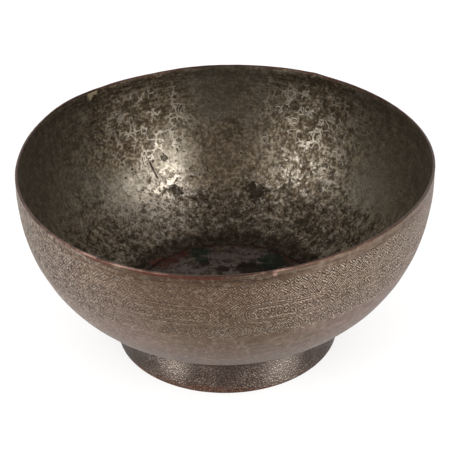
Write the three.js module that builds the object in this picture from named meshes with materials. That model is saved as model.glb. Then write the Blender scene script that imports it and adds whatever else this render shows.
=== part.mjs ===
// Footed bowl of tinned copper. Millimetres, +Z up, origin on the table under the middle of the foot.
// The body is raised from one round sheet. The foot is a strip bent into a ring, lapped and brazed at
// the back, and soft solder holds it to the underside of the body along its outside and its inside.
import * as THREE from "three";
import { mergeVertices } from "three/addons/utils/BufferGeometryUtils.js";

const { clamp, lerp, smoothstep } = THREE.MathUtils;
const FULL_TURN = 2 * Math.PI;

// Body
const HEIGHT = 118; // from the table to the mean height of the rim
const RIM_RADIUS = 120; // mean outside radius at the rim
const WALL_DEPTH = 109.5; // from the rim down to where the wall's curve would close
const FULLNESS = 2.28; // 2 is a round curve, and more is fuller in the flank
const WALL_THICKNESS = 1.1;
const FLOOR_THICKNESS = 1.4;
const RIM_THICKNESS = 1.6; // the edge is hammered back on itself
const RIM_BAND = 8; // how far down from the edge it thickens
const RIM_CROWN = 0.7; // height of the rounded edge, as a share of its half thickness
const THIN_FROM = 0.8; // share of the rim's radius from which the wall is at its thinnest

// Floor
const ROUNDEL_RADIUS = 54; // raised disc in the middle of the floor
const ROUNDEL_HEIGHT = 21.9; // its underside at its edge, above the table
const ROUNDEL_DOME = 1.4; // how much its middle stands above its edge
const STEP_WIDTH = 5.5; // from the roundel's edge out to the bottom of the trough

// How far the rim has gone out of round and out of level: waves of so many lobes, in millimetres either
// way, each with the angle of one of its crests. Angles run from +X towards +Y.
const RIM_SPREAD = [
  { lobes: 2, size: 2.5, crest: 1.57 },
  { lobes: 3, size: 0.7, crest: 0.14 },
];
const RIM_LIFT = [
  { lobes: 1, size: 0.4, crest: -0.29 },
  { lobes: 2, size: 0.3, crest: -0.57 },
  { lobes: 3, size: 0.58, crest: -0.8 },
];

// Foot
const FOOT_TOP_RADIUS = 64.4; // outside, under the body
const FOOT_RADIUS = 67.2; // outside, on the table
const FOOT_FLARE = 1.8; // 1 is a plain cone, and more keeps the spread low down
const FOOT_THICKNESS = 1.3;
const LAP_AT = Math.PI / 2; // the seam is at the back
const LAP_LENGTH = 9; // how far the strip's ends lie over each other
const SCARF_LENGTH = 14; // over which each end is thinned, the lap included
const SCARF_THICKNESS = 0.7;
const SPELTER_THICKNESS = 0.4; // between the strip's ends
const SPELTER_BEAD = 1.6; // how far it runs out past the outer end
const SPELTER_FILM = 0.15; // at the end of that bead
const SPELTER_SHORT = 0.6; // it stops this far from the strip's edges

// Solder
const OUTER_BEAD = 2.4; // reach along the foot and along the body
const INNER_BEAD = 3.4;
const BEAD_HOLLOW = 0.3; // 0.5 is a flat face, and less is a hollow one
const SEAT_GAP = 0.3; // between the body and the foot's top edge
const FILL_GAP = 0.08; // between solder or spelter and what it holds

// Facets
const TURNS = 80;
const ROUNDEL_STEPS = 3;
const TROUGH_STEPS = 6;
const WALL_STEPS = 13;
const RIM_BAND_STEPS = 3;
const RIM_EDGE_STEPS = 4;
const FOOT_STEPS = 6;
const SCARF_STEPS = 7;

const tinnedCopper = new THREE.MeshStandardMaterial({ color: 0x857668, roughness: 0.5, metalness: 0.9 });
const wornCopper = new THREE.MeshStandardMaterial({ color: 0x5f5347, roughness: 0.55, metalness: 0.9 });
const softSolder = new THREE.MeshStandardMaterial({ color: 0x77736c, roughness: 0.45, metalness: 0.9 });
const brassSpelter = new THREE.MeshStandardMaterial({ color: 0x9a7b4a, roughness: 0.45, metalness: 0.9 });

// Height of the outside of the wall at a radius. The wall is part of a superellipse.
function wallHeight(radius) {
  return HEIGHT - WALL_DEPTH * (1 - (radius / RIM_RADIUS) ** FULLNESS) ** (1 / FULLNESS);
}

// Height of the underside at a radius: a domed roundel that steps down into a trough, then the wall.
function undersideHeight(radius) {
  const roundel = ROUNDEL_HEIGHT + ROUNDEL_DOME * (1 - (radius / ROUNDEL_RADIUS) ** 2);
  const outwards = smoothstep(radius, ROUNDEL_RADIUS, ROUNDEL_RADIUS + STEP_WIDTH);
  return lerp(roundel, wallHeight(radius), outwards);
}

// Whole steps from one value to another, without the first value.
function steps(from, to, count) {
  return Array.from({ length: count }, (_, i) => lerp(from, to, (i + 1) / count));
}

// The outside of the body from the middle of its underside to the rim, as points (radius, height).
function outsideProfile() {
  const troughRadius = ROUNDEL_RADIUS + STEP_WIDTH;
  const floor = [0, ...steps(0, ROUNDEL_RADIUS, ROUNDEL_STEPS), ...steps(ROUNDEL_RADIUS, troughRadius, TROUGH_STEPS)];
  const points = floor.map((radius) => new THREE.Vector2(radius, undersideHeight(radius)));
  const wallStart = Math.asin((troughRadius / RIM_RADIUS) ** (FULLNESS / 2));
  const bandStart = Math.acos((RIM_BAND / WALL_DEPTH) ** (FULLNESS / 2));
  for (const angle of steps(wallStart, bandStart, WALL_STEPS)) {
    const radius = RIM_RADIUS * Math.sin(angle) ** (2 / FULLNESS);
    points.push(new THREE.Vector2(radius, wallHeight(radius)));
  }
  for (const below of steps(RIM_BAND, 0, RIM_BAND_STEPS)) {
    const radius = RIM_RADIUS * (1 - (below / WALL_DEPTH) ** FULLNESS) ** (1 / FULLNESS);
    points.push(new THREE.Vector2(radius, HEIGHT - below));
  }
  return points;
}

// Raising thins the wall, and the edge is left thick.
function sheetThickness(point) {
  const up = smoothstep(point.x, ROUNDEL_RADIUS, RIM_RADIUS * THIN_FROM);
  const atRim = smoothstep(point.y, HEIGHT - RIM_BAND, HEIGHT);
  return lerp(lerp(FLOOR_THICKNESS, WALL_THICKNESS, up), RIM_THICKNESS, atRim);
}

// The inside follows the outside at the thickness of the sheet.
function insideProfile(outside) {
  const last = outside.length - 1;
  return outside.map((point, i) => {
    if (i === 0) return new THREE.Vector2(0, point.y + FLOOR_THICKNESS);
    if (i === last) return new THREE.Vector2(RIM_RADIUS - RIM_THICKNESS, HEIGHT);
    const along = outside[i + 1].clone().sub(outside[i - 1]).normalize();
    return new THREE.Vector2(-along.y, along.x).multiplyScalar(sheetThickness(point)).add(point);
  });
}

// The rounded edge, from the outside over to the inside.
function rimEdge() {
  const half = RIM_THICKNESS / 2;
  return steps(0, Math.PI, RIM_EDGE_STEPS)
    .slice(0, -1)
    .map((angle) => {
      const radius = RIM_RADIUS - half + half * Math.cos(angle);
      return new THREE.Vector2(radius, HEIGHT + half * RIM_CROWN * Math.sin(angle));
    });
}

function waves(list, angle) {
  return list.reduce((sum, { lobes, size, crest }) => sum + size * Math.cos(lobes * (angle - crest)), 0);
}

// A bowl raised by hand goes out of round towards its rim, and stays true over the foot.
function goOutOfRound(geometry) {
  const position = geometry.getAttribute("position");
  for (let i = 0; i < position.count; i += 1) {
    const [x, y, z] = [position.getX(i), position.getY(i), position.getZ(i)];
    const angle = Math.atan2(y, x);
    const share = clamp((z - ROUNDEL_HEIGHT) / (HEIGHT - ROUNDEL_HEIGHT), 0, 1) ** 2;
    const spread = 1 + (share * waves(RIM_SPREAD, angle)) / RIM_RADIUS;
    // The middle of the floor has no direction of its own, so it isn't lifted
    const lift = Math.hypot(x, y) > 1 ? share * waves(RIM_LIFT, angle) : 0;
    position.setXYZ(i, x * spread, y * spread, z + lift);
  }
  return geometry;
}

function bowlBody() {
  const outside = outsideProfile();
  const profile = [...outside, ...rimEdge(), ...insideProfile(outside).reverse()];
  const turned = new THREE.LatheGeometry(profile, TURNS).rotateX(Math.PI / 2);
  turned.deleteAttribute("normal");
  turned.deleteAttribute("uv");
  return goOutOfRound(mergeVertices(turned));
}

// Joins sections about the axis. Each has its angle and its outline, as points [radius, height] that
// run anticlockwise, seen with the radius to the right. A closed sweep joins its last to its first.
function sweepRound(sections, closed) {
  const size = sections[0].outline.length;
  const positions = sections.flatMap(({ angle, outline }) =>
    outline.flatMap(([radius, height]) => [radius * Math.cos(angle), radius * Math.sin(angle), height]),
  );
  const faces = [];
  const spans = closed ? sections.length : sections.length - 1;
  for (let i = 0; i < spans; i += 1) {
    const here = i * size;
    const next = ((i + 1) % sections.length) * size;
    for (let k = 0; k < size; k += 1) {
      const up = (k + 1) % size;
      faces.push(here + k, next + k, next + up, here + k, next + up, here + up);
    }
  }
  if (!closed) faces.push(...endCaps(sections));
  const geometry = new THREE.BufferGeometry();
  geometry.setAttribute("position", new THREE.Float32BufferAttribute(positions, 3));
  geometry.setIndex(faces);
  return geometry;
}

function endCaps(sections) {
  const size = sections[0].outline.length;
  const last = (sections.length - 1) * size;
  const flat = (section) => section.outline.map(([radius, height]) => new THREE.Vector2(radius, height));
  const first = THREE.ShapeUtils.triangulateShape(flat(sections[0]), []);
  const final = THREE.ShapeUtils.triangulateShape(flat(sections.at(-1)), []);
  return [...first.flat(), ...final.flatMap(([a, b, c]) => [last + a, last + c, last + b])];
}

// The foot's top edge is cut to the slope of the underside that it meets.
const FOOT_TOP = wallHeight(FOOT_TOP_RADIUS) - SEAT_GAP;
const SEAT_SLOPE = (wallHeight(FOOT_TOP_RADIUS) - wallHeight(FOOT_TOP_RADIUS - FOOT_THICKNESS)) / FOOT_THICKNESS;

// The strip is longer than the way round by its lap. Under the lap, its first end lies inside its last.
const STRIP_LENGTH = FULL_TURN * FOOT_RADIUS + LAP_LENGTH;
const UNDER_DEPTH = SCARF_THICKNESS + SPELTER_THICKNESS;

// Outside radius of the foot at a height: it spreads towards the table.
function footRadius(height) {
  const down = clamp(1 - height / FOOT_TOP, 0, 1);
  return lerp(FOOT_TOP_RADIUS, FOOT_RADIUS, down ** FOOT_FLARE);
}

function stripAngle(along) {
  return LAP_AT + (along - LAP_LENGTH / 2) / FOOT_RADIUS;
}

// Depths of the strip's two faces below the foot's outside, at a distance along the strip.
function stripFaces(along) {
  const firstEnd = 1 - smoothstep(along, LAP_LENGTH, SCARF_LENGTH);
  const lastEnd = 1 - smoothstep(STRIP_LENGTH - along, LAP_LENGTH, SCARF_LENGTH);
  const inner = lerp(FOOT_THICKNESS, UNDER_DEPTH + SCARF_THICKNESS, firstEnd);
  return { outer: UNDER_DEPTH * firstEnd, inner: lerp(inner, SCARF_THICKNESS, lastEnd) };
}

// Outline of a layer of the foot between two depths. It stops short of the foot's edges by a margin.
function layerOutline(outer, inner, margin) {
  const face = (depth) =>
    [margin, ...steps(margin, FOOT_TOP - SEAT_SLOPE * depth - margin, FOOT_STEPS)].map((height) => [
      footRadius(height) - depth,
      height,
    ]);
  return [...face(outer), ...face(inner).reverse()];
}

function footRing() {
  const places = [
    0,
    ...steps(0, SCARF_LENGTH, SCARF_STEPS),
    ...steps(SCARF_LENGTH, STRIP_LENGTH - SCARF_LENGTH, TURNS),
    ...steps(STRIP_LENGTH - SCARF_LENGTH, STRIP_LENGTH, SCARF_STEPS),
  ];
  const sections = places.map((along) => {
    const { outer, inner } = stripFaces(along);
    return { angle: stripAngle(along), outline: layerOutline(outer, inner, 0) };
  });
  return sweepRound(sections, false);
}

// Spelter fills the lap. It stands against the strip's outer end and thins out as a bead beyond it.
function seamSpelter() {
  const beadEnd = LAP_LENGTH + SPELTER_BEAD;
  const inLap = [0, ...steps(0, LAP_LENGTH + FILL_GAP, SCARF_STEPS)];
  const rows = [
    ...inLap.map((along) => ({ along, outer: SCARF_THICKNESS + FILL_GAP })),
    { along: LAP_LENGTH + 2 * FILL_GAP, outer: FILL_GAP },
    { along: beadEnd, outer: stripFaces(beadEnd).outer - FILL_GAP - SPELTER_FILM },
  ];
  const sections = rows.map(({ along, outer }) => {
    const inner = stripFaces(along).outer - FILL_GAP;
    return { angle: stripAngle(along), outline: layerOutline(outer, inner, SPELTER_SHORT) };
  });
  return sweepRound(sections, false);
}

function allRound(outlineAt) {
  const angles = steps(0, FULL_TURN, TURNS);
  return sweepRound(
    angles.map((angle) => ({ angle, outline: outlineAt(angle) })),
    true,
  );
}

// The middle of a bead's face, hollowed towards the corner that the bead fills.
function hollow(low, high, corner) {
  return [0, 1].map((axis) => lerp(corner[axis], (low[axis] + high[axis]) / 2, 2 * BEAD_HOLLOW));
}

function outerBead() {
  const lowHeight = FOOT_TOP - OUTER_BEAD;
  const cornerRadius = FOOT_TOP_RADIUS + FILL_GAP;
  const farRadius = FOOT_TOP_RADIUS + OUTER_BEAD;
  const low = [footRadius(lowHeight) + FILL_GAP, lowHeight];
  const high = [farRadius, wallHeight(farRadius) - FILL_GAP];
  const corner = [cornerRadius, wallHeight(cornerRadius) - FILL_GAP];
  return allRound(() => [low, hollow(low, high, corner), high, corner]);
}

// Depth of the foot's inside below its outside, with room for the lap's double thickness.
function insideDepth(angle) {
  const fromLap = Math.abs(angle - LAP_AT) * FOOT_RADIUS;
  const nearLap = 1 - smoothstep(fromLap, SCARF_LENGTH, 2 * SCARF_LENGTH);
  return lerp(FOOT_THICKNESS, UNDER_DEPTH + SCARF_THICKNESS, nearLap);
}

function innerBead() {
  return allRound((angle) => {
    const depth = insideDepth(angle) + FILL_GAP;
    const lowHeight = FOOT_TOP - INNER_BEAD;
    const cornerRadius = FOOT_TOP_RADIUS - depth;
    const onUnderside = (share) => {
      const radius = cornerRadius - share * INNER_BEAD;
      return [radius, undersideHeight(radius) - 2 * FILL_GAP];
    };
    const low = [footRadius(lowHeight) - depth, lowHeight];
    const corner = onUnderside(0);
    const far = onUnderside(1);
    return [low, corner, onUnderside(0.5), far, hollow(low, far, corner)];
  });
}

const bowl = new THREE.Group();

function addPiece(name, geometry, material) {
  const piece = new THREE.Mesh(geometry, material);
  piece.name = name;
  bowl.add(piece);
}

addPiece("bowl_body", bowlBody(), tinnedCopper);
addPiece("foot_ring", footRing(), wornCopper);
addPiece("foot_seam_spelter", seamSpelter(), brassSpelter);
addPiece("outer_solder_bead", outerBead(), softSolder);
addPiece("inner_solder_bead", innerBead(), softSolder);

export default bowl;
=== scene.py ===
# %% [markdown]
# # A footed bowl of tinned copper
#
# The bowl was raised by hammer from one sheet of copper, coated with tin inside and out, and engraved
# with bands round its outside. A strip bent into a ring and soldered under it is its foot. The tin has
# darkened and worn since, so copper shows along every edge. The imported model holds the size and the
# place of each piece, and this script gives each its fine surface and its finish.

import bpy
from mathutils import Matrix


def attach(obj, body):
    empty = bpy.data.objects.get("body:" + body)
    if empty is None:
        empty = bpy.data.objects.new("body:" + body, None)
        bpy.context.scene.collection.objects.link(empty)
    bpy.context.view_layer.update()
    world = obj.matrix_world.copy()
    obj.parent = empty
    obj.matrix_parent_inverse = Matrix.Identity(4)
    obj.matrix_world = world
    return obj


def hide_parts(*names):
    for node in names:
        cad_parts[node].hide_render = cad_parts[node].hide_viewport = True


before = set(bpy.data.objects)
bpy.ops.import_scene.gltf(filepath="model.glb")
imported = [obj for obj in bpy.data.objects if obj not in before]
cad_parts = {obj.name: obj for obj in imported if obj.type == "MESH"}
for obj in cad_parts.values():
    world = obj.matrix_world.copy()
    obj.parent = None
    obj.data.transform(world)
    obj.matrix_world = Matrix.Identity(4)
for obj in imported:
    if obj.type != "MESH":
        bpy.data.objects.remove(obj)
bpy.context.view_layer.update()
print("pieces in the packed bowl:", sorted(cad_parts))

# %% [markdown]
# ## Camera
#
# The bowl is seen from above its rim, so that its inside shows down to the floor. The angle, the
# distance and the focal length come from how round the rim looks in the photograph. A camera that is
# turned a little about its own axis tilts the whole picture, and a small shift moves the bowl down in
# the frame without changing its perspective.

# %% Camera
import math
import bpy
from mathutils import Quaternion, Vector

MM = 0.001
FULL_TURN = 2 * math.pi
IMAGE_PIXELS = 450
FOCAL_PIXELS = 1185
SENSOR_MM = 36
CAMERA_DISTANCE = 700 * MM
CAMERA_ELEVATION = math.radians(32.5)
CAMERA_ROLL = math.radians(-1.36)
LOOKED_AT = Vector((0, 0, 59.15 * MM))
PIXELS_DOWN = 17.3
PIXELS_RIGHT = 0.6


def towards(azimuth, elevation):
    """A direction: azimuth 0 is the front, towards -Y, and grows towards +X."""
    level = math.cos(elevation)
    return Vector((math.sin(azimuth) * level, -math.cos(azimuth) * level, math.sin(elevation)))


camera = bpy.data.objects.new("camera", bpy.data.cameras.new("camera"))
camera.data.sensor_width = SENSOR_MM
camera.data.lens = SENSOR_MM * FOCAL_PIXELS / IMAGE_PIXELS
camera.data.shift_x = -PIXELS_RIGHT / IMAGE_PIXELS
camera.data.shift_y = PIXELS_DOWN / IMAGE_PIXELS
back = towards(0, CAMERA_ELEVATION)
camera.location = LOOKED_AT + back * CAMERA_DISTANCE
camera.rotation_mode = "QUATERNION"
camera.rotation_quaternion = (-back).to_track_quat("-Z", "Y") @ Quaternion((0, 0, 1), CAMERA_ROLL)
bpy.context.scene.collection.objects.link(camera)
bpy.context.scene.camera = camera
print(f"lens {camera.data.lens:.1f} mm, {CAMERA_DISTANCE * 1000:.0f} mm away")

# %% [markdown]
# ## Materials are trees of nodes
#
# Each finish below is a tree of nodes that Blender works out at every point of a surface, so it needs no
# picture. One function adds a node. A pattern is easier to read as a formula than as forty nodes, so a
# small class lets numpy's own functions and operators add the Math nodes: the same formula then moves
# the vertices of a mesh when it is given arrays, and draws on a material when it is given a field.

# %% Nodes and formulas
import numpy as np

MATHS = {
    "add": "ADD",
    "subtract": "SUBTRACT",
    "multiply": "MULTIPLY",
    "divide": "DIVIDE",
    "remainder": "FLOORED_MODULO",
    "absolute": "ABSOLUTE",
    "minimum": "MINIMUM",
    "maximum": "MAXIMUM",
    "sqrt": "SQRT",
    "sin": "SINE",
    "cos": "COSINE",
    "arctan2": "ARCTAN2",
}


class Field(np.lib.mixins.NDArrayOperatorsMixin):
    """A value that changes over a surface: an output of a node. Sums with it add Math nodes.

    It knows the tree that it is in, so a function that is given one adds its nodes to the same tree.
    """

    def __init__(self, tree, socket):
        self.tree = tree
        self.socket = socket

    def __array_ufunc__(self, function, method, *values, **options):
        return add_node(self.tree, "Math", values, operation=MATHS[function.__name__])


def add_node(tree, kind, sources=(), out=0, **settings):
    """Adds a node and gives back one of its outputs. Sources go to its sockets by name or in order."""
    made = tree.nodes.new("ShaderNode" + kind)
    for name, value in settings.items():
        setattr(made, name, value)
    for socket, source in sources.items() if isinstance(sources, dict) else enumerate(sources):
        if isinstance(source, Field):
            tree.links.new(source.socket, made.inputs[socket])
        else:
            made.inputs[socket].default_value = source
    return Field(tree, made.outputs[out]) if made.outputs else None


def ramp(value, low, high):
    """A smooth step from 0 at low to 1 at high, for an array or a field. It falls if high is below low."""
    if isinstance(value, Field):
        return add_node(value.tree, "MapRange", (value, low, high), interpolation_type="SMOOTHSTEP")
    share = np.clip((value - low) / (high - low), 0, 1)
    return share * share * (3 - 2 * share)


def colour(code):
    """An sRGB hex code as the linear colour that a shader takes."""
    parts = [int(code[i : i + 2], 16) / 255 for i in (1, 3, 5)]
    return (*[p / 12.92 if p <= 0.04045 else ((p + 0.055) / 1.055) ** 2.4 for p in parts], 1)


print("formulas can use:", ", ".join(MATHS))

# %% [markdown]
# ## Floor and light
#
# The floor is a wide white matt disc, so it fills the picture and keeps the bowl's shadow. To the eye and
# in reflections part of it glows evenly, as paper lit from behind does. Dark metal shows mostly what it
# reflects. Two tall soft lamps stand in front of the bowl, and the curved wall at the back mirrors them:
# the lamp on the right is the light patch on the left. That lamp leans a little, and so does its patch.
# The room is dim on the camera's side, which keeps the inside dark between the lamps, and bright behind
# the bowl, which edges it with light.

# %% Floor, room and lamps
FLOOR_RADIUS = 3
FLOOR_SIDES = 96
FLOOR_COLOUR = "#F6F6F6"
FLOOR_GLOW = 0.6
ROOM_FRONT = (0.16, 0.155, 0.15, 1)
ROOM_BACK = (1.32, 1.32, 1.32, 1)
# The room turns from front to back between these levels of a direction's y
ROOM_TURNS = (-0.55, 0.45)
LAMP_DISTANCE = 1.25
LAMP_COLOUR = (1.0, 0.99, 0.975)
LAMPS = {
    "lamp_right": {"azimuth": 46, "elevation": 28, "lean": 10, "size": (0.55, 1.15), "radiance": 9.4},
    "lamp_left": {"azimuth": -50, "elevation": 27, "lean": 0, "size": (0.75, 1.3), "radiance": 6.6},
}


def matt_paper():
    """Plain matt paper: it scatters light, and glows where it is looked at straight or in a reflection."""
    material = bpy.data.materials.new("matt_paper")
    material.use_nodes = True
    tree = material.node_tree
    tree.nodes.clear()
    kinds = ("Camera", "Glossy", "Transmission")
    straight, glossy, clear = [add_node(tree, "LightPath", out=f"Is {kind} Ray") for kind in kinds]
    paper = add_node(tree, "BsdfDiffuse", {"Color": colour(FLOOR_COLOUR)})
    glow = add_node(tree, "Emission", {"Strength": 1.0})
    seen = (straight + glossy + clear) * FLOOR_GLOW
    add_node(tree, "OutputMaterial", {"Surface": add_node(tree, "MixShader", (seen, paper, glow))})
    return material


rim_points = [(math.cos(a) * FLOOR_RADIUS, math.sin(a) * FLOOR_RADIUS, 0)
              for a in np.linspace(0, FULL_TURN, FLOOR_SIDES, endpoint=False)]
floor_mesh = bpy.data.meshes.new("floor")
floor_mesh.from_pydata(rim_points, [], [list(range(FLOOR_SIDES))])
floor_mesh.materials.append(matt_paper())
floor = bpy.data.objects.new("floor", floor_mesh)
bpy.context.scene.collection.objects.link(floor)

world = bpy.data.worlds.new("room")
world.use_nodes = True
room = world.node_tree
room.nodes.clear()
direction = add_node(room, "TexCoord", out="Generated")
backwards = ramp(add_node(room, "SeparateXYZ", (direction,), out="Y"), *ROOM_TURNS)
walls = add_node(room, "MixRGB", (backwards, ROOM_FRONT, ROOM_BACK))
add_node(room, "OutputWorld", {"Surface": add_node(room, "Background", {"Color": walls})})
bpy.context.scene.world = world
bpy.context.scene.view_settings.view_transform = "Standard"

for name, spec in LAMPS.items():
    light = bpy.data.lights.new(name, "AREA")
    light.shape = "RECTANGLE"
    light.size, light.size_y = spec["size"]
    light.color = LAMP_COLOUR
    # A lamp's power spreads over its face and over the half space in front of it
    light.energy = spec["radiance"] * math.pi * spec["size"][0] * spec["size"][1]
    lamp = bpy.data.objects.new(name, light)
    way = towards(math.radians(spec["azimuth"]), math.radians(spec["elevation"]))
    lamp.location = LOOKED_AT + way * LAMP_DISTANCE
    lean = Quaternion((0, 0, 1), math.radians(-spec["lean"]))
    lamp.rotation_mode = "QUATERNION"
    lamp.rotation_quaternion = way.to_track_quat("Z", "Y") @ lean
    lamp.visible_camera = False
    bpy.context.scene.collection.objects.link(lamp)
    print(f"{name}: {light.energy:.1f} W")

# %% [markdown]
# ## The form of the body
#
# Seen from the side, the wall is part of a superellipse: fuller in the flank than a circle. In the middle
# of the floor a disc was pushed up from below, and a trough round it stands over the foot. These sizes
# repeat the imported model's, in millimetres. The outline could be drawn as a curve, but formulas give its
# normal everywhere too, and the sheet's other face lies along that normal.

# %% Outline of the body
HEIGHT = 118
RIM_RADIUS = 120
WALL_DEPTH = 109.5
FULLNESS = 2.28
WALL_THICKNESS = 1.1
FLOOR_THICKNESS = 1.4
RIM_THICKNESS = 1.6
RIM_BAND = 8
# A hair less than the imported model's 0.7, so that this finer edge stays inside its box
RIM_CROWN = 0.69
THIN_FROM = 0.8
ROUNDEL_RADIUS = 54
ROUNDEL_HEIGHT = 21.9
ROUNDEL_DOME = 1.4
STEP_WIDTH = 5.5


def wall_height(radius):
    """Height of the outside of the wall at a radius."""
    return HEIGHT - WALL_DEPTH * (1 - (radius / RIM_RADIUS) ** FULLNESS) ** (1 / FULLNESS)


def wall_radius(height):
    """Radius of the outside of the wall at a height."""
    return RIM_RADIUS * (1 - ((HEIGHT - height) / WALL_DEPTH) ** FULLNESS) ** (1 / FULLNESS)


def underside_height(radius):
    """Height of the underside: the domed roundel, its step down into the trough, then the wall."""
    roundel = ROUNDEL_HEIGHT + ROUNDEL_DOME * (1 - (radius / ROUNDEL_RADIUS) ** 2)
    outwards = ramp(radius, ROUNDEL_RADIUS, ROUNDEL_RADIUS + STEP_WIDTH)
    return roundel + (wall_height(radius) - roundel) * outwards


def sheet_thickness(radius, height):
    """Raising thins the wall, and the edge is left thick."""
    up = ramp(radius, ROUNDEL_RADIUS, RIM_RADIUS * THIN_FROM)
    at_rim = ramp(height, HEIGHT - RIM_BAND, HEIGHT)
    plain = FLOOR_THICKNESS + (WALL_THICKNESS - FLOOR_THICKNESS) * up
    return plain + (RIM_THICKNESS - plain) * at_rim


print(f"radius at half height: {wall_radius(HEIGHT / 2):.1f} mm")

# %% [markdown]
# ## Out of round
#
# A bowl raised by hand is never quite round. Low waves make this one 10 mm wider from front to back than
# from side to side, and leave its rim up to 1.2 mm too high or 0.9 mm too low. A few knocks have since
# bent the rim by up to 1.1 mm. All of this fades out towards the foot. The rings of the mesh below are
# made round, and then moved by this one function.

# %% Waves of the rim
RIM_SPREAD = [(2, 2.5, 1.57), (3, 0.7, 0.14)]
RIM_LIFT = [(1, 0.4, -0.29), (2, 0.3, -0.57), (3, 0.58, -0.8)]
# Angle and half width in degrees, then how far the rim moved out and up in millimetres
RIM_KNOCKS = [
    (143, 12, 0.9, 0.65), (177, 11, -0.6, 0), (111, 9, -0.5, -0.25), (66, 8, 0.3, 0.2),
    (60, 2.2, 0.2, 0.35),
]


def waves(parts, angle):
    """Sum of waves. Each part has its number of lobes, its size in millimetres and a crest's angle."""
    return sum(size * np.cos(lobes * (angle - crest)) for lobes, size, crest in parts)


def knocks(angle):
    """How far the knocks have moved the rim out, and how far up."""
    out, up = 0, 0
    for middle, half_width, moved_out, moved_up in RIM_KNOCKS:
        away = (angle - math.radians(middle) + math.pi) % FULL_TURN - math.pi
        share = np.exp(-((away / math.radians(half_width)) ** 2))
        out = out + moved_out * share
        up = up + moved_up * share
    return out, up


def out_of_round(radius, angle, height):
    """Points of a round ring, moved by the waves and the knocks, as rows of x, y and z."""
    share = np.clip((height - ROUNDEL_HEIGHT) / (HEIGHT - ROUNDEL_HEIGHT), 0, 1) ** 2
    out, up = knocks(angle)
    spread = radius * (1 + share * (waves(RIM_SPREAD, angle) + out) / RIM_RADIUS)
    lifted = height + share * (waves(RIM_LIFT, angle) + up)
    return np.stack([spread * np.cos(angle), spread * np.sin(angle), lifted], axis=-1)


for sides, angle in {"side to side": 0, "front to back": math.pi / 2}.items():
    width = 2 * RIM_RADIUS + waves(RIM_SPREAD, angle) + waves(RIM_SPREAD, angle + math.pi)
    print(f"before the knocks, the rim is {width:.1f} mm from {sides}")

# %% [markdown]
# ## The engraved bands
#
# Under the rim run scribed lines, two rows of saw teeth, a wide band of long cartouches with rosettes
# between them, and a fringe of hanging arches. Such bands are common to the craft. Each motif here is a
# formula for the distance from a point of the wall to the nearest engraved line. A point is given by its
# turn round the bowl, in whole turns, and its height in millimetres. The lines of the teeth are finer
# than the mesh, so only the material draws them. The others are cut into the mesh as well.

# %% Ornament
from functools import reduce

GIRTH = FULL_TURN * RIM_RADIUS
SCRIBED_LINES = (115.4, 114.2, 113.0, 99.6, 84.3, 82.9)
TEETH_LOW = 101.2
TEETH_HIGH = 112.0
TOOTH_ROW = 5.4
TEETH = 144
BAND_MIDDLE = 92.1
BAND_REPEATS = 12
CARTOUCHE_HALF = 17
CARTOUCHE_RADIUS = 5.7
BORDER = 1.3
ROSETTE_RADIUS = 4.6
ROSETTE_WAVE = 0.7
ROSETTE_PETALS = 8
ROSETTE_EYE = 1.8
SCROLL_PERIOD = 6.8
SCROLL_REACH = 2.4
SCROLL_CURL = 1.1
SCROLL_HOLLOW = 0.6
SCROLL_FADE = 0.6
STEM_SLANT = 1.3
SIDE_CHANGE = 0.05
SPOKE_SPREAD = 0.4
SPOKE_FADE = 0.5
FRINGE_TOP = 82.3
FRINGE_DROP = 6.4
FRINGE_REPEATS = 120
FRINGE_FADE = 0.3
ARCH_SLANT = 7
DROP_AT = 0.42
DROP_RADIUS = 1.25
DROP_NARROWING = 2.4
FAR = 99


def across(turn, repeats):
    """Distance along the wall from the middle of the nearest of so many repeats, in millimetres."""
    return ((turn * repeats) % 1 - 0.5) * (GIRTH / repeats)


def nearest(distances):
    """The least of several distances."""
    return reduce(np.minimum, distances)


def scribed(height):
    """Distance to the lines that run all the way round."""
    return nearest([abs(height - line) for line in SCRIBED_LINES])


def zigzag(turn, height):
    """How far a point is above lines that go up and down like the teeth of a saw, one in each row."""
    tooth = abs((turn * TEETH) % 1 - 0.5) * 2 - 0.5
    up = (height - TEETH_LOW) % TOOTH_ROW - TOOTH_ROW / 2
    slope = 2 * TOOTH_ROW * TEETH / GIRTH
    return (up - tooth * TOOTH_ROW) / math.sqrt(1 + slope * slope)


def cartouches(turn, height):
    """Distance to the double border of the cartouches, and how far a point is outside them."""
    beyond = np.maximum(abs(across(turn, BAND_REPEATS)) - CARTOUCHE_HALF, 0)
    up = height - BAND_MIDDLE
    outside = np.sqrt(beyond * beyond + up * up) - CARTOUCHE_RADIUS
    return np.minimum(abs(outside), abs(outside + BORDER)), outside


def scroll(turn, height):
    """Distance to a stem that waves along a cartouche, and to the curls that fill its hollows."""
    along = across(turn, BAND_REPEATS)
    up = height - BAND_MIDDLE
    phase = along * (FULL_TURN / SCROLL_PERIOD)
    # Straight up to a slanting line is further than the shortest way to it
    stem = abs(up - np.sin(phase) * SCROLL_REACH) / STEM_SLANT
    half = SCROLL_PERIOD / 2
    beside = ((along + half) % half) - half / 2
    side = np.sin(phase) / np.maximum(abs(np.sin(phase)), SIDE_CHANGE)
    above = up + side * (SCROLL_REACH * SCROLL_HOLLOW)
    curl = abs(np.sqrt(beside * beside + above * above) - SCROLL_CURL)
    return np.minimum(stem, curl)


def rosettes(turn, height):
    """Distance to the petals, the spokes and the eye of a rosette."""
    along = across(turn + 0.5 / BAND_REPEATS, BAND_REPEATS)
    up = height - BAND_MIDDLE
    radius = np.sqrt(along * along + up * up)
    petal = np.cos(np.arctan2(up, along) * ROSETTE_PETALS)
    outside = radius - ROSETTE_RADIUS - petal * ROSETTE_WAVE
    spoke = abs(petal + 1) * (radius * SPOKE_SPREAD)
    spoke = spoke + ramp(radius, ROSETTE_RADIUS, ROSETTE_RADIUS + SPOKE_FADE) * FAR
    return nearest([abs(outside), abs(radius - ROSETTE_EYE), spoke])


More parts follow.
